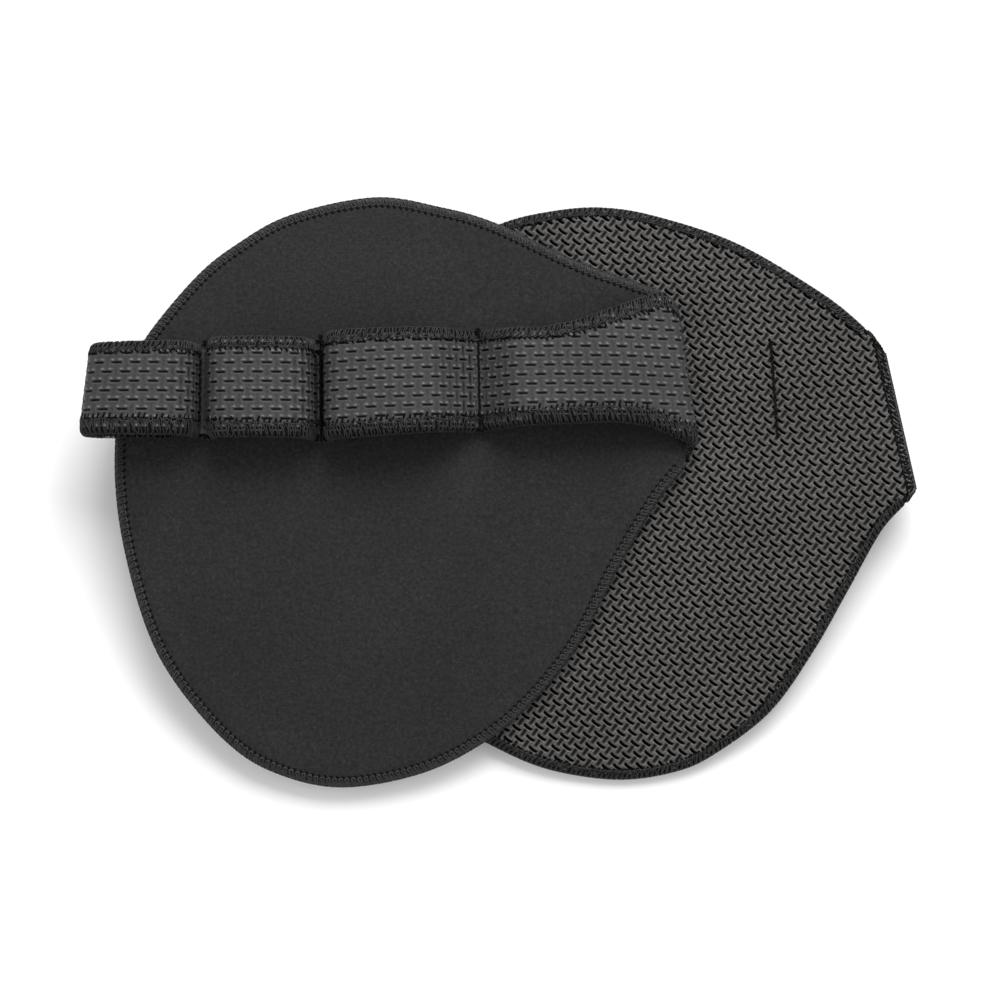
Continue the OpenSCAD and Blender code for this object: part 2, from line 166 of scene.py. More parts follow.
class Grip:
    """One laminate blank: a pad, and the strap that is folded over from it. Places are given
    flat: (u, y) with u = 0 on the line where the fold begins, growing along the strap, and
    d the distance from the laminate's middle towards its rubber. The rails are lines of
    (x, value): the strap's far and near edges, the pad's at the fold, and the tacks' slant.
    near_band and far_band widen the edging, and drift shifts the rubber's pattern."""

    def __init__(self, points, rails, fold_x, pieces, mid, up, near_band=((0, 1),),
                 far_band=((0, 1),), drift=((0, 0),)):
        self.mid, self.up, self.rails, self.drift = mid, up, rails, drift
        self.start_x = fold_x - HALF - FOLD_R
        self.path = walk(pieces(self.start_x), (self.start_x, 0.0, 0.0))
        _, x, z, h = self.path.T
        ox, oz = x + HALF * np.sin(h), z - HALF * np.cos(h)
        self.u = np.concatenate([[0], np.cumsum(np.hypot(np.diff(ox), np.diff(oz)))])
        self.end = self.u[-1]
        self.scale = []
        for rail, line in zip(self.edges(self.u), (near_band, far_band)):
            slope = np.gradient(rail, self.u)
            lean = np.sqrt(1 + np.clip(slope, -1.6, 1.6) ** 2)
            lean = np.convolve(np.pad(lean, 4, mode="edge"), np.ones(9) / 9, "valid")
            wide = np.interp(x, *np.array(line).T)
            wide = 1 + (wide - 1) * smooth(h / math.radians(120))
            self.scale.append(lean * wide)
        self.tilt = self.rail(SLANT, self.start_x)
        full = curve(points)
        side = full[:, 0] - self.start_x - self.tilt * (full[:, 1] - STRAP_Y)
        inside = np.nonzero(side < 0)[0]
        i, j = inside[0], inside[-1]

        def cross(a, b):
            t = side[a] / (side[a] - side[b])
            return full[a] + t * (full[b] - full[a])
        self.outline = np.vstack([cross(i - 1, i), full[i:j + 1], cross(j, j + 1)])
        self.run = np.concatenate(
            [[0], np.cumsum(np.linalg.norm(np.diff(self.outline, axis=0), axis=1))])
        t = np.gradient(self.outline, self.run, axis=0)
        t /= np.linalg.norm(t, axis=1)[:, None]
        self.inward = np.stack([-t[:, 1], t[:, 0]], 1)

    def rail(self, which, x):
        return np.interp(x, *np.array(self.rails[which]).T)

    def cut(self, x, y):
        """How far a place on the pad is past the line where the fold begins."""
        return x - self.start_x - self.tilt * (y - STRAP_Y)

    def along(self, u):
        _, x, z, h = self.path.T
        return np.interp(u, self.u, x), np.interp(u, self.u, z), np.interp(u, self.u, h)

    def edges(self, u):
        x, _, h = self.along(u)
        on_pad = h < math.pi / 2
        return (np.where(on_pad, self.rail(NEAR_PAD, x), self.rail(NEAR, x)),
                np.where(on_pad, self.rail(FAR_PAD, x), self.rail(FAR, x)))

    def scales(self, u):
        """How much wider the edging is than on a pad, along Y, on the near and far edges."""
        return [np.interp(u, self.u, k) for k in self.scale]

    def strap(self, u, y, d):
        x, z, h = self.along(u)
        px = x + d * np.sin(h) + self.rail(SLANT, x) * (y - STRAP_Y)
        pz = self.mid + self.up * (z - d * np.cos(h))
        pz = pz - sag(y)
        return np.stack([px, y, pz + ripple(px, y, pz)], -1)

    def pad(self, x, y, d):
        z = self.mid - self.up * d - sag(y)
        return np.stack([x, y, z + ripple(x, y, z)], -1)

    def q(self, x, y):
        """Distance inside the pad's outline, and the nearest outline point and its normal."""
        p = np.stack([x, y], -1).reshape(-1, 2)
        best = np.full(len(p), 1e9)
        index = np.zeros(len(p), int)
        for k in range(len(self.outline)):
            d = ((p - self.outline[k]) ** 2).sum(1)
            m = d < best
            best[m], index[m] = d[m], k
        n = self.inward[index]
        q = ((p - self.outline[index]) * n).sum(1)
        return q.reshape(x.shape), index.reshape(x.shape)

    def edge(self, u, q, h):
        """A place near the pad's edge: u along the outline, q inwards, h towards the rubber.
        It runs on a little beyond both ends, under the fold's own edging."""
        u = u - OVERRUN
        o = np.stack([np.interp(u, self.run, self.outline[:, i]) for i in (0, 1)], -1)
        n = np.stack([np.interp(u, self.run, self.inward[:, i]) for i in (0, 1)], -1)
        past = u - np.clip(u, 0, self.run[-1])
        p = o + n * q[..., None] + np.stack([n[..., 1], -n[..., 0]], -1) * past[..., None]
        return self.pad(p[..., 0], p[..., 1], h)


FRONT_TACKS, REAR_TACKS = [-4.5, -44, -73], [69.5, 34, -0.5]


def front_pieces(x0):
    h, r, b = 10.5, 4.6, 12
    return (index_pieces(x0, 8.5, FRONT_TACKS[0], 45, r)
            + loop_pieces(FRONT_TACKS[0], FRONT_TACKS[1], h, 45, 92, b, r)
            + loop_pieces(FRONT_TACKS[1], FRONT_TACKS[2], h, 76, 92, b, r)
            + end_pieces(FRONT_TACKS[2], -102.3, h, 76, b, r, 4.4))


def rear_pieces(x0):
    h, r, s = REAR_LIFT - 2 * HALF, 3.2, 80
    return (index_pieces(x0, h, REAR_TACKS[0], s, r)
            + loop_pieces(REAR_TACKS[0], REAR_TACKS[1], h, s, s, 0, r)
            + loop_pieces(REAR_TACKS[1], REAR_TACKS[2], h, s, s, 0, r)
            + end_pieces(REAR_TACKS[2], -41, h, s, 0, r, 2.9))


front = Grip(
    [[44.5, 49.2], [39.5, 51], [20.75, 57.6], [-0.25, 67.4], [-14.25, 71.5], [-31, 74],
     [-52.25, 69.4], [-66, 61.7], [-76, 53.4], [-87.75, 39], [-93.5, 27.7], [-95.75, 10],
     [-94.25, -10], [-88.5, -32.5], [-81, -47.5], [-68, -62.7], [-55.75, -70.4], [-39.25, -74],
     [-19.25, -70.6], [-3.25, -62.8], [9.25, -52.5], [20.75, -38], [30.75, -18.75],
     [40.5, -2.5], [46, 4.2], [50.9, 10.75]],
    [[[-104, 35.9], [-75, 36.5], [-70, 37.5], [-47, 37.5], [-41, 39.1], [-24, 39.7],
      [-5, 40], [12, 40], [20, 41.6], [28, 44.1], [36, 46.9], [43.5, 49.6], [45, 49.6],
      [46.5, 47.5]],
     [[-104, 12.7], [-75, 12.5], [-70, 12], [-47, 11.8], [-41, 11.4], [-24, 12.6],
      [-5, 14.1], [8, 15.1], [28, 15.9], [36, 15.1], [46.5, 10.75]],
     [[43.9, 50.5], [46.5, 47.5]],
     [[43.9, 6], [46.5, 10.75]],
     [[-104, 0.13], [-73, 0], [-5, -0.02], [20, -0.08], [40, -0.151]]],
    48, front_pieces, FRONT_MID, 1,
    near_band=[[-75, 1.9], [-60, 1.75], [-5, 1.8], [40, 1.95]],
    far_band=[[-75, 1.15], [-70, 1.35], [-41, 1.45], [-24, 1.3], [0, 1.2], [40, 1.6]],
    drift=[[-75, -2], [-44, -2], [-5, -0.3], [14, 0]])
rear = Grip(
    [[97.9, 35.5], [91, 42.9], [80.75, 50.9], [60.75, 62.7], [40.75, 69.5], [27, 71.9],
     [14, 71], [0.75, 67.7], [-14, 59.9], [-26, 48.8], [-34, 34.2], [-38, 15], [-38, -6],
     [-33, -27], [-24, -44], [-11.5, -57], [0.75, -64.5], [14, -69.7], [30.75, -72],
     [45, -70], [55, -65.5], [68.75, -55], [79.5, -40], [88, -25], [96.4, -10],
     [102.6, -3], [105.1, 0.75]],
    [[[-42, 37.5], [70, 37.5], [84, 36.5], [94, 36], [98, 36.5]],
     [[-42, 13.5], [70, 13.5], [84, 10], [98, -0.5]],
     [[95.4, 41.7], [96.64, 40.4], [97.6, 37.9], [98, 36.5]],
     [[95.4, -3.5], [96.64, -2.5], [97.6, -1.1], [98, -0.5]],
     [[-42, 0], [60, -0.02], [70, -0.07], [90, -0.218]]],
    99.5, rear_pieces, REAR_MID, -1)


# ---------------------------------------------------------------- meshes
def mesh(name, verts, faces, slots, values=None, mats=None):
    """faces is a list of arrays of corner indices, each array with its own corner count."""
    me = bpy.data.meshes.new(name)
    loops = np.concatenate([np.asarray(f, np.int32).ravel() for f in faces])
    counts = np.concatenate([np.full(len(f), np.asarray(f).shape[1], np.int32) for f in faces])
    starts = np.concatenate([[0], np.cumsum(counts)[:-1]]).astype(np.int32)
    me.vertices.add(len(verts))
    me.vertices.foreach_set("co", (np.asarray(verts) * MM).astype(np.float32).ravel())
    me.loops.add(len(loops))
    me.loops.foreach_set("vertex_index", loops)
    me.polygons.add(len(counts))
    me.polygons.foreach_set("loop_start", starts)
    me.polygons.foreach_set("loop_total", counts)
    me.polygons.foreach_set("use_smooth", np.ones(len(counts), bool))
    if mats is not None:
        me.polygons.foreach_set("material_index", mats.astype(np.int32))
    me.update(calc_edges=True)
    me.validate()
    for key, v in (values or {}).items():
        a = me.attributes.new(key, "FLOAT", "POINT")
        a.data.foreach_set("value", np.asarray(v, np.float32))
    b = bmesh.new()
    b.from_mesh(me)
    bmesh.ops.recalc_face_normals(b, faces=b.faces)
    b.to_mesh(me)
    b.free()
    ob = bpy.data.objects.new(name, me)
    bpy.context.scene.collection.objects.link(ob)
    for m in slots:
        me.materials.append(m)
    return ob


def grid_solid(name, keep, block, top, under, slots, tone):
    """A closed sheet: blocks of fine quads on one side, one quad for each block on the other.
    keep says which blocks exist, top holds the fine points, under those of the blocks."""
    cu, cv = keep.shape
    cells = np.argwhere(keep)
    nv = cv * block + 1
    fine = []
    for a in range(block):
        for b in range(block):
            i, j = cells[:, 0] * block + a, cells[:, 1] * block + b
            fine.append(np.stack([i * nv + j, (i + 1) * nv + j,
                                  (i + 1) * nv + j + 1, i * nv + j + 1], 1))
    fine = np.concatenate(fine)
    used = np.unique(fine)
    to = np.full(top.shape[0] * top.shape[1], -1)
    to[used] = np.arange(len(used))
    fine = to[fine]
    mv = cv + 1
    i, j = cells[:, 0], cells[:, 1]
    low = np.stack([i * mv + j, i * mv + j + 1, (i + 1) * mv + j + 1, (i + 1) * mv + j], 1)
    used_low = np.unique(low)
    to_low = np.full((cu + 1) * (cv + 1), -1)
    to_low[used_low] = np.arange(len(used_low)) + len(used)
    low = to_low[low]
    walls = []
    padded = np.pad(keep, 1)
    steps = np.arange(block + 1)
    for i, j in cells:
        for di, dj in ((-1, 0), (1, 0), (0, -1), (0, 1)):
            if padded[i + 1 + di, j + 1 + dj]:
                continue
            if di:
                r = i + (di > 0)
                t = [to[(r * block) * nv + j * block + k] for k in steps]
                l = [to_low[r * mv + j], to_low[r * mv + j + 1]]
            else:
                c = j + (dj > 0)
                t = [to[(i * block + k) * nv + c * block] for k in steps]
                l = [to_low[i * mv + c], to_low[(i + 1) * mv + c]]
            walls.append(t + [l[1], l[0]])
    verts = np.concatenate([top.reshape(-1, 3)[used], under.reshape(-1, 3)[used_low]])
    values = {"tone": np.concatenate([tone.ravel()[used], np.ones(len(used_low))])}
    return mesh(name, verts, [fine, low, np.array(walls)], slots, values)


def spans(low, high, pitch, offsets):
    """Line positions that cover low to high, in whole blocks, and each line's offset number."""
    first, last = math.floor(low / pitch) - 1, math.ceil(high / pitch) + 1
    cells = np.arange(first, last)
    lines = (cells[:, None] + np.array(offsets)[None]).ravel() * pitch
    number = np.tile(np.arange(len(offsets)), len(cells))
    cell = np.repeat(cells, len(offsets))
    lines = np.append(lines, (last + offsets[0]) * pitch)
    return lines, np.append(number, 0), np.append(cell, last), len(cells)


def emboss(lx, ly, spec):
    """Depth, colour tone and sideways shift of a checkerboard of slots, over a tensor grid. The
    tone is painted light: painted shade in the slots, painted highlights on their rims and
    beside their ends.
    """
    a = ((np.array(spec["off_x"])[lx[1]] + lx[2])[:, None]) * np.ones((1, len(ly[0])))
    b = ((np.array(spec["off_y"])[ly[1]] + ly[2])[None]) * np.ones((len(lx[0]), 1))

    def slot(along, across, odd, core, rim, full, tip):
        """1 in a slot's floor, falling to 0 at its rim, and the distances from its middle."""
        row = np.round(across)
        middle = 2 * np.round((along - row - odd) / 2) + row + odd
        p, q = along - middle, across - row
        wide = np.clip((rim - abs(q)) / (rim - core), 0, 1)
        return wide * np.clip((tip - abs(p)) / (tip - full), 0, 1), p, q

    sx, px, qx = slot(a, b, 0, *spec["slot_x"])
    sy, py, qy = slot(b, a, 1, *spec["slot_y"])
    depth = spec["deep_x"] * sx + spec["deep_y"] * sy
    rim_x, rim_y = spec["slot_x"][1], spec["slot_y"][1]
    on_rim_x = np.exp(-((abs(qx) - rim_x) / 0.06) ** 2) * (abs(px) < spec["slot_x"][2] + 0.05)
    on_rim_y = np.exp(-((abs(qy) - rim_y) / 0.06) ** 2) * (abs(py) < spec["slot_y"][2] + 0.05)
    dot = (np.exp(-((abs(px) - 0.42) / 0.16) ** 2 - ((qx - spec["dot_at"]) / 0.07) ** 2))
    # painted light: the paler rims and the dots beside the slots' ends are painted highlights,
    # and the darkening inside the slots is painted shade
    tone = (1 + (spec["rim_x"] - 1) * on_rim_x + (spec["rim_y"] - 1) * on_rim_y
            + (spec["dot"] - 1) * dot)
    tone = tone * (1 - (1 - spec["dark_x"]) * sx) * (1 - (1 - spec["dark_y"]) * sy)
    land = (abs(qx) > 0.3) & (abs(qy) > 0.3)
    depth = depth - spec["dome"] * land - spec["dot_up"] * dot
    bend = -spec["bend"] * np.clip(1 - (px / 0.62) ** 2, 0, 1) * smooth((0.42 - abs(qx)) / 0.2)
    return depth, tone, bend, sy


def rolled(q):
    """How far a face drops towards the overlocked edge."""
    return ROLL * (1 - smooth((q - 0.9) / 2.6))


def snap_pad(grip, x, y, least):
    """Places outside the inner line move onto it."""
    q, index = grip.q(x, y)
    short = np.clip(least - q, 0, None)
    n = grip.inward[index]
    return x + n[..., 0] * short, y + n[..., 1] * short, np.maximum(q, least)


def strap_q(grip, u, y):
    (near, far), (k_near, k_far) = grip.edges(u), grip.scales(u)
    y = np.clip(y, near + LEAST * k_near, far - LEAST * k_far)
    return y, np.minimum((y - near) / k_near, (far - y) / k_far)


def tack_dent(grip, tacks, x, y, reach=1.6, deep=0.35):
    """The pad is pulled in along each tack."""
    out = 0 * x
    for t in tacks:
        near, far = grip.rail(NEAR, t), grip.rail(FAR, t)
        d = abs(x - t - grip.rail(SLANT, t) * (y - STRAP_Y))
        ends = smooth((y - near + 1) / 3) * smooth((far + 1 - y) / 3)
        out = out + deep * np.exp(-(d / reach) ** 2) * ends
    return out


def face_piece(name, grip, part, side, pitch, turn, spec, slots, dents=()):
    """One face of a grip, as a closed sheet. part is pad or strap. side is 1 for the rubber and
    -1 for the jersey. turn is the pattern's angle; None sets it along the fold line."""
    thick = RUBBER if side > 0 else JERSEY
    plain = spec is None
    off_x = [-0.5] if plain else spec["off_x"]
    off_y = [-0.5] if plain else spec["off_y"]
    block = len(off_x)
    aligned = turn is None
    if aligned:
        if part == "pad":
            a = math.atan(grip.tilt)
            low_u, high_u = -190, 0
        else:
            low_u, high_u = 0, grip.end
        lx, ly = spans(low_u, high_u, pitch[0], off_x), spans(-110, 95, pitch[1], off_y)
        u, v = np.meshgrid(lx[0], ly[0], indexing="ij")
    else:
        c, s = math.cos(math.radians(turn)), math.sin(math.radians(turn))
        r = 260
        lx, ly = spans(-r, r, pitch[0], off_x), spans(-r, r, pitch[1], off_y)
        u, v = np.meshgrid(lx[0], ly[0], indexing="ij")
    if plain:
        depth, tone, bend, upright = 0 * u, 1 + 0 * u, 0 * u, 0 * u
    else:
        depth, tone, bend, upright = emboss(lx, ly, spec)
    v = v + bend * pitch[1]
    cu, cv = lx[3], ly[3]
    mid_i = np.arange(cu) * block + block // 2
    mid_j = np.arange(cv) * block + block // 2

    def middles(w):
        """A value at the middle of each block."""
        return (w[:-1, :-1] + w[1:, 1:]) / 2 if plain else w[np.ix_(mid_i, mid_j)]

    def levels(depth, q):
        """The distances of the outer and inner face from the laminate's middle."""
        return HALF - (depth + rolled(q)), HALF - thick - 0.6 * rolled(q)

    def flat(u, v):
        """Pattern coordinates to flat ones: x on the pad's plane, and y."""
        if aligned:
            if part == "pad":
                return (grip.start_x + grip.tilt * (v - STRAP_Y) + u * math.cos(a),
                        v - u * math.sin(a))
            return u, v
        return c * u - s * v, s * u + c * v

    if part == "pad":
        x, y = flat(u, v)
        cx, cy = middles(x), middles(y)
        box = ((cx > grip.outline[:, 0].min()) & (cx < grip.outline[:, 0].max())
               & (cy > grip.outline[:, 1].min()) & (cy < grip.outline[:, 1].max()))
        i0, i1 = np.nonzero(box.any(1))[0][[0, -1]]
        j0, j1 = np.nonzero(box.any(0))[0][[0, -1]]
        i0, i1, j0, j1 = max(i0 - 1, 0), min(i1 + 2, cu), max(j0 - 1, 0), min(j1 + 2, cv)
        sub = np.s_[i0 * block:i1 * block + 1, j0 * block:j1 * block + 1]
        x, y, depth, tone = x[sub], y[sub], depth[sub], tone[sub]
        cx, cy = cx[i0:i1, j0:j1], cy[i0:i1, j0:j1]
        cu, cv = i1 - i0, j1 - j0
        keep = (grip.q(cx, cy)[0] > LEAST) & (grip.cut(cx, cy) < 0)
        x, y, q = snap_pad(grip, x, y, LEAST)
        past = grip.cut(x, y) > 1e-9
        outer, inner = levels(depth, q)
        dent = tack_dent(grip, dents, x, y) if len(dents) else 0 * x
        top = grip.pad(x, y, side * (outer - dent))
        low = grip.pad(x, y, side * (inner - dent))
        if past.any() and not aligned:
            uu = grip.cut(x, y)
            ys, qs = strap_q(grip, uu, y)
            outer, inner = levels(depth, qs)
            top = np.where(past[..., None], grip.strap(uu, ys, side * outer), top)
            low = np.where(past[..., None], grip.strap(uu, ys, side * inner), low)
    else:
        if aligned:
            uu = np.clip(u, 0, grip.end)
            sx, _, sh = grip.along(uu)
            on_top = (sh > 1.5) & (sh < 4.8)
            y = v + np.where(on_top, np.interp(sx, *np.array(grip.drift).T), 0)
            if side > 0 and grip is front:
                low = grip.along(uu)[1] - 2 * HALF
                # painted shade in the front strap's valleys: the upright slots darken (and are
                # cut deeper) where the strap turns down to a tack, a strip along each tack is
                # painted nearly black, and the low walls beside the tacks past x = -40 are
                # painted dark
                for t, shade_reach in zip(FRONT_TACKS, (0.6, 1.5, 1.2)):
                    past_tack = t - sx
                    opened = np.exp(-((past_tack - 3) / 4) ** 2) * (past_tack > 0) * on_top
                    tone = tone * (1 - 0.9 * upright * opened)
                    depth = depth + 0.3 * upright * opened
                    tone = tone * (1 - 0.97 * np.exp(-(past_tack / shade_reach) ** 4) * on_top)
                    if t < -40:
                        deep = (1 - smooth((low - 0.8) / 4)) * (abs(past_tack) < 8)
                        tone = tone * (1 - 0.9 * deep * on_top)
        else:
            x, y = flat(u, v)
            uu = x - grip.start_x - grip.tilt * (y - STRAP_Y)
            # the slant depends on the place along the strap, so it is found in rounds
            for _ in range(4):
                sx = grip.along(uu)[0]
                shift = grip.rail(SLANT, sx)
                uu = x - grip.start_x - shift * (y - STRAP_Y)
        cuu, cy = middles(uu), middles(y)
        (near, far), (k_near, k_far) = grip.edges(cuu), grip.scales(cuu)
        keep = ((cuu > 0) & (cuu < grip.end) & (cy > near + LEAST * k_near)
                & (cy < far - LEAST * k_far))
        ii, jj = np.nonzero(keep.any(1))[0], np.nonzero(keep.any(0))[0]
        i0, i1, j0, j1 = ii[0], ii[-1] + 1, jj[0], jj[-1] + 1
        sub = np.s_[i0 * block:i1 * block + 1, j0 * block:j1 * block + 1]
        uu, y, depth, tone, keep = uu[sub], y[sub], depth[sub], tone[sub], keep[i0:i1, j0:j1]
        cu, cv = i1 - i0, j1 - j0
        before = uu < -1e-9
        uc = np.clip(uu, 0, grip.end)
        ys, q = strap_q(grip, uc, y)
        outer, inner = levels(depth, q)
        top = grip.strap(uc, ys, side * outer)
        low = grip.strap(uc, ys, side * inner)
        if before.any() and not aligned:
            xp = uu + grip.start_x + grip.tilt * (y - STRAP_Y)
            xp, yp, qp = snap_pad(grip, xp, y, LEAST)
            outer, inner = levels(depth, qp)
            top = np.where(before[..., None], grip.pad(xp, yp, side * outer), top)
            low = np.where(before[..., None], grip.pad(xp, yp, side * inner), low)
    under = low[np.ix_(np.arange(cu + 1) * block, np.arange(cv + 1) * block)]
    return grid_solid(name, keep, block, top, under, slots, tone)


def core_piece(name, grip, part, slots, pitch=2.0, dents=()):
    """The foam between the two faces."""
    if part == "pad":
        lx, ly = spans(-200, 0, pitch, [-0.5]), spans(-110, 95, pitch, [-0.5])
        u, v = np.meshgrid(lx[0], ly[0], indexing="ij")
        u = np.minimum(u, 0)
        x = grip.start_x + grip.tilt * (v - STRAP_Y) + u
        cx, cy = (x[:-1, :-1] + x[1:, 1:]) / 2, (v[:-1, :-1] + v[1:, 1:]) / 2
        keep = (grip.q(cx, cy)[0] > LEAST) & (u[1:, 1:] - u[:-1, :-1] > 0)
        x, y, q = snap_pad(grip, x, v, LEAST)
        dent = tack_dent(grip, dents, x, y, deep=0.3) if len(dents) else 0 * x
        top = grip.pad(x, y, HALF - RUBBER - 0.62 * rolled(q) - dent)
        low = grip.pad(x, y, -(HALF - JERSEY - 0.62 * rolled(q)))
    else:
        lx, ly = spans(0, grip.end, 0.7, [-0.5]), spans(-10, 60, pitch, [-0.5])
        u, v = np.meshgrid(lx[0], ly[0], indexing="ij")
        u = np.clip(u, 0, grip.end)
        (near, far), (k_near, k_far) = grip.edges(u), grip.scales(u)
        cy = (v[:-1, :-1] + v[1:, 1:]) / 2
        keep = ((cy > (near + LEAST * k_near)[1:, 1:]) & (cy < (far - LEAST * k_far)[1:, 1:])
                & (u[1:, 1:] - u[:-1, :-1] > 0))
        y, q = strap_q(grip, u, v)
        top = grip.strap(u, y, HALF - RUBBER - 0.62 * rolled(q))
        low = grip.strap(u, y, -(HALF - JERSEY - 0.62 * rolled(q)))
    return grid_solid(name, keep, 1, top, low, slots, 1 + 0 * top[..., 0])


def tube(points, normals, r, sides=5):
    """A thread along points. normals lean away from the surface under it."""
    n = len(points)
    t = np.gradient(points, axis=0)
    t /= np.maximum(np.linalg.norm(t, axis=1), 1e-9)[:, None]
    b = np.cross(t, normals)
    b /= np.maximum(np.linalg.norm(b, axis=1), 1e-9)[:, None]
    m = np.cross(b, t)
    a = np.arange(sides) * 2 * math.pi / sides
    ring = (points[:, None] + r * (np.cos(a)[None, :, None] * m[:, None]
                                   + np.sin(a)[None, :, None] * b[:, None]))
    verts = ring.reshape(-1, 3)
    i = np.arange(n - 1)[:, None] * sides
    k = np.arange(sides)[None]
    quads = np.stack([i + k, i + (k + 1) % sides, i + sides + (k + 1) % sides,
                      i + sides + k], -1).reshape(-1, 4)
    caps = np.array([list(range(sides))[::-1],
                     [(n - 1) * sides + x for x in range(sides)]])
    return verts, quads, caps


class Bundle:
    """Collects tubes and strips of one piece."""

    def __init__(self):
        self.v, self.f, self.n, self.m = [], {}, 0, {}

    def add(self, verts, parts, material=0):
        for f in parts:
            f = np.asarray(f) + self.n
            self.f.setdefault(f.shape[1], []).append(f)
            self.m.setdefault(f.shape[1], []).append(np.full(len(f), material))
        self.v.append(verts)
        self.n += len(verts)

    def thread(self, points, normals, r, material=0, sides=5):
        v, q, c = tube(points, normals, r, sides)
        self.add(v, [q, c], material)

    def make(self, name, slots):
        keys = sorted(self.f)
        faces = [np.concatenate(self.f[k]) for k in keys]
        mats = np.concatenate([np.concatenate(self.m[k]) for k in keys])
        verts = np.concatenate(self.v)
        verts[:, 2] = np.maximum(verts[:, 2], 0.02)     # pressed flat on the table
        return mesh(name, verts, faces, slots, mats=mats)


def band_section():
    """The edging under the threads: inward distance and height, from the rubber's needle line
    round the rim to the jersey's."""
    q = [BAND, 1.9, 1.4, RIM]
    rows = [(a, HALF - rolled(np.array(a)) - 0.02) for a in q]
    for deg in range(75, -90, -15):
        c, s = math.cos(math.radians(deg)), math.sin(math.radians(deg))
        rows.append((RIM - RIM_R * c, (HALF - ROLL) * s))
    rows += [(a, -(HALF - rolled(np.array(a)) - 0.02)) for a in q[::-1]]
    return np.array(rows, float)


def stitched_edge(name, place, length, pitch, slots, r=0.2, wild=0.0, seed=1, bead=0.17):
    """An overlocked edge: a dark wrap under two looper threads and two rows of needle thread.
    place(u, q, h) gives points, with h towards the rubber."""
    rng = np.random.default_rng(seed)
    out = Bundle()
    section = band_section()
    n = int(length / 0.8) + 1
    us = np.linspace(0, length, n)
    ring = np.stack([place(us, np.full(n, q), np.full(n, h)) for q, h in section], 1)
    inner = np.stack([place(us, np.full(n, BAND), np.full(n, h)) for h in (-0.9, 0.9)], 1)
    ring = np.concatenate([ring, inner], 1)
    k = ring.shape[1]
    i = np.arange(n - 1)[:, None] * k
    j = np.arange(k)[None]
    quads = np.stack([i + j, i + (j + 1) % k, i + k + (j + 1) % k, i + k + j], -1)
    caps = np.array([list(range(k))[::-1], [(n - 1) * k + x for x in range(k)]])
    out.add(ring.reshape(-1, 3), [quads.reshape(-1, 4), caps], 1)

    count = int(length / pitch) - 1
    start = (length - count * pitch) / 2

    def surface(q, s):
        """Height over the wrap at q, on side s."""
        rim = np.clip((RIM - q) / RIM_R, 0, 1)
        flat_h = HALF - rolled(q) - 0.02
        round_h = (HALF - ROLL) * np.sqrt(np.clip(1 - rim ** 2, 0, 1))
        return s * np.where(q < RIM, round_h, flat_h)

    def lay(u, q, s, lift):
        h = surface(q, s)
        rim = np.clip((RIM - q) / RIM_R, 0, 1)
        p = place(u, q - rim * lift, h + s * lift * (1 - rim))
        p2 = place(u, q - rim * (lift + 0.2), h + s * (lift + 0.2) * (1 - rim))
        nrm = p2 - p
        return p, nrm / np.maximum(np.linalg.norm(nrm, axis=1), 1e-9)[:, None]

    for s, lean in ((1, 0.35), (-1, -0.35)):
        # each stitch is one loop: out to the rim and back to the needle line
        shape = np.array([[0.50, 2.2], [0.36, 1.95], [0.22, 1.55], [0.14, 1.1], [0.12, 0.7],
                          [0.20, 0.38], [0.50, 0.30], [0.80, 0.38], [0.88, 0.7],
                          [0.86, 1.1], [0.78, 1.55], [0.64, 1.95]])
        m = len(shape)
        u = (np.arange(count)[:, None] + shape[None, :, 0]
             + lean * (shape[None, :, 1] - 1.2) / 1.2)
        loose = wild * smooth((shape[:, 1] - 0.6) / 0.9)
        q = np.tile(shape[:, 1], (count, 1)) + loose * rng.normal(0, 0.14, (count, m))
        u = u + wild * rng.normal(0, 0.1, (count, m)) + rng.normal(0, 0.04, (count, 1))
        u = np.clip(start + u.ravel() * pitch, 0.05, length - 0.05)
        q = np.clip(q.ravel(), 0.3, 2.3)
        lift = r * 0.9 + np.tile(loose, count) * abs(rng.normal(0, 0.12, u.shape))
        p, nrm = lay(u, q, s, lift)
        out.thread(p, nrm, r, 0)
        # needle thread, a short slanted stitch over each loop's end
        for c in range(count):
            a = start + (c + 0.18) * pitch
            uu = a + np.array([0, 0.08, 0.22, 0.3]) * pitch
            qq = BAND + 0.1 + np.array([0.3, 0.1, -0.15, -0.4]) + wild * rng.normal(0, 0.12)
            p, nrm = lay(uu, qq, s, np.array([-0.08, 0.02, 0.02, -0.08]))
            out.thread(p, nrm, bead, 2, 5)
    return out.make(name, slots)


# ---------------------------------------------------------------- materials
def nodes_of(name):
    m = bpy.data.materials.new(name)
    m.use_nodes = True
    nt = m.node_tree
    nt.nodes.clear()
    out = nt.nodes.new("ShaderNodeOutputMaterial")
    b = nt.nodes.new("ShaderNodeBsdfPrincipled")
    nt.links.new(b.outputs[0], out.inputs[0])
    return m, nt, b


def noise(nt, coord, scale, detail=2.0, rough=0.5):
    n = nt.nodes.new("ShaderNodeTexNoise")
    n.inputs["Scale"].default_value = scale
    n.inputs["Detail"].default_value = detail
    n.inputs["Roughness"].default_value = rough
    nt.links.new(coord, n.inputs["Vector"])
    return n.outputs["Fac"]


def spread(nt, fac, low, high, a, b):
    n = nt.nodes.new("ShaderNodeMapRange")
    for k, v in zip(("From Min", "From Max", "To Min", "To Max"), (low, high, a, b)):
        n.inputs[k].default_value = v
    nt.links.new(fac, n.inputs["Value"])
    return n.outputs["Result"]


def math_node(nt, op, a, b):
    n = nt.nodes.new("ShaderNodeMath")
    n.operation = op
    for k, v in enumerate((a, b)):
        if isinstance(v, (int, float)):
            n.inputs[k].default_value = v
        else:
            nt.links.new(v, n.inputs[k])
    return n.outputs[0]


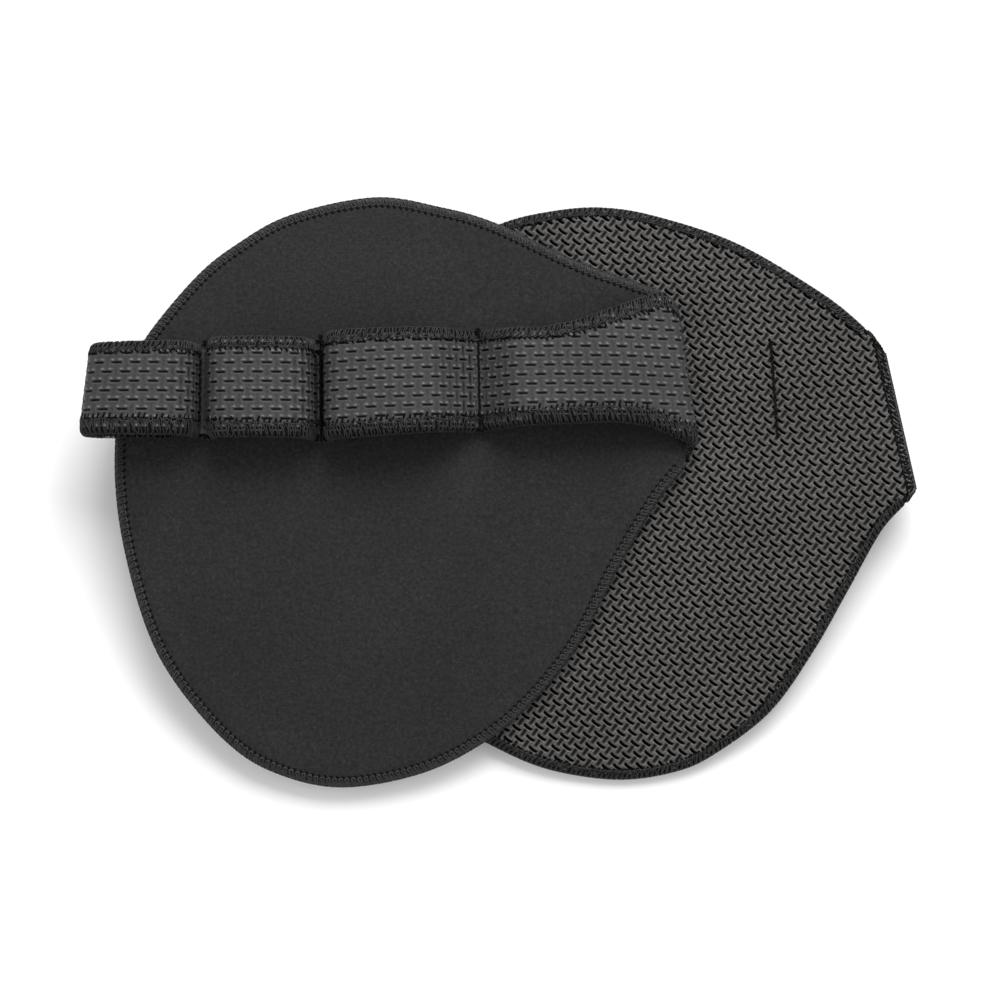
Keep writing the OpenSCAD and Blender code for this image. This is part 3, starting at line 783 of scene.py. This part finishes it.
def ramp(nt, fac, stops):
    n = nt.nodes.new("ShaderNodeValToRGB")
    e = n.color_ramp.elements
    while len(e) < len(stops):
        e.new(0.5)
    for el, (p, c) in zip(e, stops):
        el.position = p
        el.color = (*c, 1)
    nt.links.new(fac, n.inputs["Fac"])
    return n.outputs["Color"]


def scaled(nt, colour, fac):
    n = nt.nodes.new("ShaderNodeVectorMath")
    n.operation = "SCALE"
    nt.links.new(colour, n.inputs[0])
    nt.links.new(fac, n.inputs["Scale"])
    return n.outputs[0]


def bump(nt, b, height, distance, strength=1.0):
    n = nt.nodes.new("ShaderNodeBump")
    n.inputs["Distance"].default_value = distance
    n.inputs["Strength"].default_value = strength
    nt.links.new(height, n.inputs["Height"])
    nt.links.new(n.outputs[0], b.inputs["Normal"])


def rubber_material(name, low, high, spec):
    """Embossed rubber: matt. The mesh's tone is painted light: painted shade in the slots,
    painted highlights on their rims and beside their ends.
    """
    m, nt, b = nodes_of(name)
    co = nt.nodes.new("ShaderNodeTexCoord").outputs["Object"]
    tone = nt.nodes.new("ShaderNodeAttribute")
    tone.attribute_name = "tone"
    cloud = noise(nt, co, 60, 3)
    grain = noise(nt, co, 1700, 2, 0.6)
    base = ramp(nt, spread(nt, cloud, 0.3, 0.7, 0, 1), [(0, low), (1, high)])
    k = math_node(nt, "MULTIPLY", tone.outputs["Fac"], spread(nt, grain, 0.3, 0.7, 0.7, 1.3))
    nt.links.new(scaled(nt, base, k), b.inputs["Base Color"])
    nt.links.new(spread(nt, grain, 0.3, 0.7, 0.5, 0.68), b.inputs["Roughness"])
    b.inputs["Specular IOR Level"].default_value = spec
    bump(nt, b, grain, 0.00006, 0.6)
    return m


def jersey_material(name, low, high):
    """Fine brushed knit: columns of stitches about half a millimetre wide, with fibre specks."""
    m, nt, b = nodes_of(name)
    co = nt.nodes.new("ShaderNodeTexCoord").outputs["Object"]
    cloud = noise(nt, co, 45, 3)
    fibre = noise(nt, co, 1150, 3, 0.65)
    speck = noise(nt, co, 1500, 1, 0.5)
    wave = nt.nodes.new("ShaderNodeTexWave")
    wave.bands_direction = "X"
    wave.inputs["Scale"].default_value = 640
    wave.inputs["Distortion"].default_value = 1.4
    wave.inputs["Detail"].default_value = 1
    wave.inputs["Detail Scale"].default_value = 2
    nt.links.new(co, wave.inputs["Vector"])
    rows = nt.nodes.new("ShaderNodeTexWave")
    rows.bands_direction = "Y"
    rows.inputs["Scale"].default_value = 820
    rows.inputs["Distortion"].default_value = 2.0
    nt.links.new(co, rows.inputs["Vector"])
    base = ramp(nt, spread(nt, cloud, 0.3, 0.7, 0, 1), [(0, low), (1, high)])
    k = math_node(nt, "ADD", spread(nt, fibre, 0.3, 0.7, 0.4, 1.55),
                  spread(nt, speck, 0.6, 0.8, 0, 0.9))
    nt.links.new(scaled(nt, base, k), b.inputs["Base Color"])
    nt.links.new(spread(nt, fibre, 0.3, 0.7, 0.78, 0.92), b.inputs["Roughness"])
    b.inputs["Specular IOR Level"].default_value = 0.2
    b.inputs["Sheen Weight"].default_value = 0.1
    b.inputs["Sheen Roughness"].default_value = 0.5
    knit = math_node(nt, "MULTIPLY", wave.outputs["Fac"], rows.outputs["Fac"])
    height = math_node(nt, "ADD", math_node(nt, "MULTIPLY", knit, 0.5), fibre)
    bump(nt, b, height, 0.00009, 0.7)
    return m


def thread_material(name, low, high, spec=0.35):
    m, nt, b = nodes_of(name)
    co = nt.nodes.new("ShaderNodeTexCoord").outputs["Object"]
    fibre = noise(nt, co, 3200, 2, 0.6)
    lint = noise(nt, co, 700, 2)
    base = ramp(nt, spread(nt, lint, 0.3, 0.7, 0, 1), [(0, low), (1, high)])
    nt.links.new(scaled(nt, base, spread(nt, fibre, 0.3, 0.7, 0.7, 1.3)), b.inputs["Base Color"])
    nt.links.new(spread(nt, fibre, 0.3, 0.7, 0.55, 0.8), b.inputs["Roughness"])
    b.inputs["Specular IOR Level"].default_value = spec
    bump(nt, b, fibre, 0.00008, 0.7)
    return m


def foam_material(name):
    m, nt, b = nodes_of(name)
    co = nt.nodes.new("ShaderNodeTexCoord").outputs["Object"]
    cells = nt.nodes.new("ShaderNodeTexVoronoi")
    cells.inputs["Scale"].default_value = 3500
    nt.links.new(co, cells.inputs["Vector"])
    d = cells.outputs["Distance"]
    nt.links.new(ramp(nt, d, [(0, (0.006, 0.006, 0.006)), (0.8, (0.016, 0.016, 0.016))]),
                 b.inputs["Base Color"])
    nt.links.new(spread(nt, d, 0, 1, 0.8, 0.95), b.inputs["Roughness"])
    bump(nt, b, d, 0.0001, 0.8)
    return m


def grey(v, warm=0.0):
    return (v * (1 + warm), v, v * (1 - 1.4 * warm))


rubber_front = rubber_material("grip_rubber_front", grey(0.038), grey(0.045), 0.13)
rubber_rear = rubber_material("grip_rubber_rear", grey(0.035, 0.03), grey(0.043, 0.03), 0.03)
jersey = jersey_material("jersey", grey(0.0128), grey(0.0160))
thread_soft = thread_material("thread_soft", grey(0.020), grey(0.032))
thread_light = thread_material("thread_light", grey(0.045), grey(0.16))
thread_mid = thread_material("thread_mid", grey(0.006), grey(0.026))
thread_fleck = thread_material("thread_fleck", grey(0.007), grey(0.024))
thread_dark = thread_material("thread_dark", grey(0.011), grey(0.020))
thread_black = thread_material("thread_black", grey(0.002), grey(0.004), 0.08)
foam = foam_material("foam")

# ---------------------------------------------------------------- the pieces
# The slots' checkerboard, in parts of its pitch: the lines of the mesh (off_), each slot's
# half widths and half lengths (slot_), depths in millimetres (deep_, dome, dot_up, from the
# face) and tones, which are painted light (dark_ is painted shade in a slot, darker for the
# slots that lie across the light; rim_ a painted highlight round it, dot one beside its ends).
STRAP_SPEC = dict(off_x=[-0.42, -0.3, -0.12, 0, 0.12, 0.3, 0.42],
                  off_y=[-0.32, -0.17, -0.07, 0.07, 0.17, 0.26, 0.5],
                  slot_x=(0.07, 0.17, 0.42, 0.62), slot_y=(0.0, 0.3, 0.24, 0.8),
                  deep_x=0.5, deep_y=0.1, dark_x=0.0, dark_y=0.85, dome=0.04,
                  rim_x=1.35, rim_y=1.2, dot=4.2, dot_at=0.26, dot_up=0.1, bend=0.0)
UNDER_SPEC = dict(STRAP_SPEC, off_x=[-0.38, -0.12, 0, 0.12, 0.38],
                  off_y=[-0.17, -0.07, 0.07, 0.17, 0.5])
PAD_SPEC = dict(off_x=[-0.5, -0.31, -0.12, 0.12, 0.31], off_y=[-0.28, -0.17, 0.17, 0.28, 0.5],
                slot_x=(0.17, 0.28, 0.52, 0.7), slot_y=(0.12, 0.31, 0.46, 0.74),
                deep_x=0.7, deep_y=0.3, dark_x=0.0, dark_y=0.22, dome=0.05,
                rim_x=3.3, rim_y=2.6, dot=1.0, dot_at=0.2, dot_up=0.0, bend=0.13)
FRONT_G, REAR_G = (2.36, 2.33), (2.185, 1.839)
REAR_TURN = -36.9
GRIPS = (("front", front), ("rear", rear))


def layer_nodes(which, part, layer):
    """The CAD nodes of one layer. The front pad's layers are split at the heel line."""
    nodes = [f"{which}_{part}_{layer}"]
    if (which, part) == ("front", "pad"):
        nodes.append(f"front_heel_{layer}")
    return nodes


def add(obj, which, nodes):
    """A piece that stands for a heel node too is left in world space, attached to neither of the
    front grip's two bodies.
    """
    if any("heel" in node for node in nodes):
        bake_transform(obj)
    else:
        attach(obj, which + "_grip")
    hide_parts(*nodes)


for which, grip in GRIPS:
    for part in ("pad", "strap"):
        dents = REAR_TACKS if (which, part) == ("rear", "pad") else ()
        add(core_piece(f"{which}_{part}_core", grip, part, [foam], dents=dents), which,
            layer_nodes(which, part, "foam"))

for which, grip in GRIPS:
    for part, pitch, turn in (("pad", (1.6, 1.6), 0), ("strap", (0.6, 1.6), None)):
        add(face_piece(f"{which}_{part}_lining", grip, part, -1, pitch, turn, None, [jersey]),
            which, layer_nodes(which, part, "jersey"))

for which, grip, part, pitch, turn, spec, rubber, dents in (
        ("front", front, "pad", FRONT_G, None, UNDER_SPEC, rubber_front, ()),
        ("front", front, "strap", FRONT_G, None, STRAP_SPEC, rubber_front, ()),
        ("rear", rear, "pad", REAR_G, REAR_TURN, PAD_SPEC, rubber_rear, REAR_TACKS),
        ("rear", rear, "strap", REAR_G, REAR_TURN, PAD_SPEC, rubber_rear, ())):
    add(face_piece(f"{which}_{part}_grip", grip, part, 1, pitch, turn, spec, [rubber],
                   dents=dents), which, layer_nodes(which, part, "rubber"))

stitched_edge("front_pad_edge", front.edge, front.run[-1] + 2 * OVERRUN, 1.65,
              [thread_soft, thread_soft, thread_black], 0.2, seed=3, bead=0.32)
stitched_edge("rear_pad_edge", rear.edge, rear.run[-1] + 2 * OVERRUN, 1.3,
              [thread_fleck, thread_black, thread_black], 0.19, seed=4, wild=0.6, bead=0.28)


def strap_edge(name, grip, slots, pitch, seed, wild):
    """The overlocked edges on both sides of a strap, as one piece."""
    made = []
    for side in (0, 1):
        def place(u, q, h, side=side):
            rail, k = grip.edges(u)[side], grip.scales(u)[side]
            return grip.strap(u, rail + (q * k if side == 0 else -q * k), h)
        made.append(stitched_edge(name + str(side), place, grip.end, pitch, slots, 0.17,
                                  seed=seed + side, wild=wild, bead=0.28))
    a, b = made
    with bpy.context.temp_override(active_object=a, selected_editable_objects=[a, b]):
        bpy.ops.object.join()
    a.name = name


strap_edge("front_strap_edge", front, [thread_mid, thread_black, thread_black], 1.4, 11, 1.1)
strap_edge("rear_strap_edge", rear, [thread_dark, thread_black, thread_black], 1.25, 21, 0.5)
for which, grip in GRIPS:
    for part in ("pad", "strap"):
        add(bpy.data.objects[f"{which}_{part}_edge"], which,
            layer_nodes(which, part, "overlock"))


def seam_piece(name, grip, seed):
    """The overlocked edge carried across the rubber where the blank folds over: a flat dark
    wrap with a zigzag of looper thread along its inner side."""
    rng = np.random.default_rng(seed)
    out = Bundle()
    u = np.linspace(*(math.radians(d) * (FOLD_R + HALF) for d in (20, 84)), 10)
    w = np.linspace(-1, 1, 10)
    n = 70
    t = np.linspace(0, 1, n)[:, None]
    near, far = grip.edges(u)
    k_near, k_far = grip.scales(u)
    near, far = near + 1.3 * k_near, far - 1.3 * k_far
    y = near + (far - near) * t
    over = grip.strap(u + 0 * y, y, HALF + 0.1 * (1 - w ** 4) - 0.02 * np.ones_like(y))
    under = grip.strap(u[::-1] + 0 * y, y[:, ::-1], HALF - 0.3 + 0 * y)
    ring = np.concatenate([over, under], 1)
    k = ring.shape[1]
    i, j = np.arange(n - 1)[:, None] * k, np.arange(k)[None]
    quads = np.stack([i + j, i + (j + 1) % k, i + k + (j + 1) % k, i + k + j], -1)
    caps = np.array([list(range(k))[::-1], [(n - 1) * k + x for x in range(k)]])
    out.add(ring.reshape(-1, 3), [quads.reshape(-1, 4), caps], 1)

    def lay(uu, t, lift):
        nf = [np.interp(uu, u, e) for e in (near, far)]
        y = nf[0] + (nf[1] - nf[0]) * np.clip(t, 0, 1)
        p = grip.strap(uu, y, HALF + 0.08 + lift)
        q = grip.strap(uu, y, HALF + 0.4 + lift) - p
        return p, q / np.linalg.norm(q, axis=1)[:, None]

    length = float(np.mean(far - near))
    count = int(length / 1.15)
    step = np.arange(count * 4 + 1) / 4
    lean = np.tile([0.15, 1.0, 1.15, 0.3], count + 1)[:len(step)]
    for shift, r, material in ((0.0, 0.15, 0), (0.42, 0.2, 2), (0.7, 0.2, 2)):
        uu = u[0] + 0.15 + 1.9 * lean + rng.normal(0, 0.2, len(step))
        tt = (step + shift + rng.normal(0, 0.08, len(step))) / count
        keep = (tt > 0) & (tt < 1)
        p, nrm = lay(uu[keep], tt[keep], 0.1 + 0.1 * rng.random(keep.sum()))
        out.thread(p, nrm, r, material)
    for uu, material in ((u[0] + 0.05, 2), (u[0] + 2.4, 2), (u[-1] - 0.5, 1)):
        tt = np.linspace(0, 1, 120)
        p, nrm = lay(uu + 0.08 * np.sin(tt * 260), tt, 0.03 + 0.05 * np.sin(tt * 330))
        out.thread(p, nrm, 0.17, material)
    return out.make(name, [thread_light, thread_dark, thread_black])


for which, grip in GRIPS:
    add(seam_piece(which + "_fold_stitches", grip, 60), which, [which + "_fold_seam"])


def tack_piece(name, grip, tack_x, upper, lower, seed, zig):
    """A row of hand-laid stitches through strap and pad, seen on both outer faces."""
    rng = np.random.default_rng(seed)
    out = Bundle()
    shift = grip.rail(SLANT, tack_x)
    near, far = grip.rail(NEAR, tack_x) + 0.2, grip.rail(FAR, tack_x) - 0.2
    n = int((far - near) / 1.9)
    for face, z in ((1, upper), (-1, lower)):
        for k in range(n):
            y0 = near + (far - near) * k / n
            y1 = near + (far - near) * (k + 0.92) / n
            t = np.linspace(0, 1, 7)
            y = y0 + (y1 - y0) * t
            wob = zig * (0.5 - t) + rng.normal(0, 0.04)
            x = tack_x + shift * (y - STRAP_Y) + wob
            lift = 0.2 * np.sin(math.pi * t) + 0.02
            zz = z + face * lift
            p = np.stack([x, y, zz + ripple(x, y, zz)], -1)
            nrm = np.tile([0.0, 0.0, float(face)], (len(t), 1))
            out.thread(p, nrm, 0.3, 0, 6)
            if zig:
                x2 = tack_x + shift * (y - STRAP_Y) - wob * 0.7
                p2 = np.stack([x2, y + 0.4, zz - face * 0.1 + ripple(x, y, zz)], -1)
                out.thread(p2, nrm, 0.18, 0, 6)
    # the thread tail is knotted at the far end of the upper row
    t = np.linspace(0, 4 * math.pi, 40)
    y = far + 0.1 + 0.35 * np.sin(t)
    x = tack_x + shift * (far - STRAP_Y) + 0.45 * np.cos(t * 1.02)
    zz = upper + 0.15 + 0.25 * t / t[-1]
    p = np.stack([x, y, zz], -1)
    out.thread(p, np.tile([0.0, 0.0, 1.0], (40, 1)), 0.24, 0, 6)
    return out.make(name, [thread_black])


for i, label in enumerate(("index", "middle", "ring", "end")):
    for which, grip, tacks, zig in (("front", front, FRONT_TACKS, 0.25),
                                    ("rear", rear, REAR_TACKS, 0.5)):
        x = tacks[i] if i < 3 else tacks[2] - END_GAP - END_MARGIN
        top = grip.mid + (3 * HALF if grip is front else HALF)
        low = grip.mid - (HALF if grip is front else 3 * HALF)
        add(tack_piece(f"{which}_{label}_stitches", grip, x, top, low, 40 + i, zig), which,
            [f"{which}_tack_{label}"])


# ---------------------------------------------------------------- flat sizes and areas of the soft pieces
def pad_area(grip):
    x, y = grip.outline.T
    return abs(np.dot(x, np.roll(y, 1)) - np.dot(y, np.roll(x, 1))) / 2 * MM * MM


def strap_area(grip):
    s = grip.u
    near, far = grip.edges(s)
    return float(np.sum(np.diff(s) * ((far - near)[1:] + (far - near)[:-1]) / 2)) * MM * MM


for which, grip in GRIPS:
    w, l = np.ptp(grip.outline[:, 0]) * MM, np.ptp(grip.outline[:, 1]) * MM
    near, far = grip.edges(grip.u)
    sw, sl = float((far - near).max()) * MM, float(grip.end) * MM
    for part, flat, area, held in (("pad", (w, l), pad_area(grip), "laid"),
                                   ("strap", (sw, sl), strap_area(grip), "folded")):
        print("flat", which, part, [round(v * 1000, 1) for v in flat], round(area * 1e6))

# ---------------------------------------------------------------- stage, light, camera
bpy.ops.mesh.primitive_plane_add(size=6, location=(0, 0, -0.0004))
floor = bpy.context.object
floor.name = "floor"
m, nt, b = nodes_of("floor")
co = nt.nodes.new("ShaderNodeTexCoord").outputs["Object"]
nt.links.new(ramp(nt, noise(nt, co, 3), [(0.3, grey(0.9)), (0.7, grey(0.92))]),
             b.inputs["Base Color"])
b.inputs["Roughness"].default_value = 0.9
b.inputs["Specular IOR Level"].default_value = 0.1
floor.data.materials.append(m)


def area_light(name, azimuth, elevation, distance, size, power):
    data = bpy.data.lights.new(name, "AREA")
    data.energy, data.size = power, size
    ob = bpy.data.objects.new(name, data)
    a, e = math.radians(azimuth), math.radians(elevation)
    d = np.array([math.cos(e) * math.cos(a), math.cos(e) * math.sin(a), math.sin(e)])
    ob.location = d * distance
    ob.rotation_euler = Vector(d).to_track_quat("Z", "Y").to_euler()
    bpy.context.scene.collection.objects.link(ob)


area_light("key", 76, 44, 1.6, 1.1, 32)
area_light("fill", -100, 60, 1.8, 1.8, 9)
area_light("left", 175, 35, 1.6, 1.1, 6)
area_light("right", 5, 35, 1.6, 1.1, 6)
world = bpy.data.worlds.new("studio")
world.use_nodes = True
world.node_tree.nodes["Background"].inputs[0].default_value = (1, 1, 1, 1)
world.node_tree.nodes["Background"].inputs[1].default_value = 0.3
bpy.context.scene.world = world
bpy.context.scene.view_settings.view_transform = "Standard"
bpy.context.scene.view_settings.look = "None"

SENSOR, AWAY, VIEW_WIDTH = 36, 1.2, 0.25
AIM = (0.00075, -0.0025, 0.0176)
cam = bpy.data.cameras.new("camera")
cam.sensor_width = SENSOR
cam.lens = SENSOR * AWAY / VIEW_WIDTH
cam.clip_start, cam.clip_end = 0.05, 20
camera = bpy.data.objects.new("camera", cam)
lean = math.radians(4.5)
camera.location = (AIM[0], AIM[1] - AWAY * math.sin(lean), AIM[2] + AWAY * math.cos(lean))
camera.rotation_euler = (lean, 0, 0)
bpy.context.scene.collection.objects.link(camera)
bpy.context.scene.camera = camera
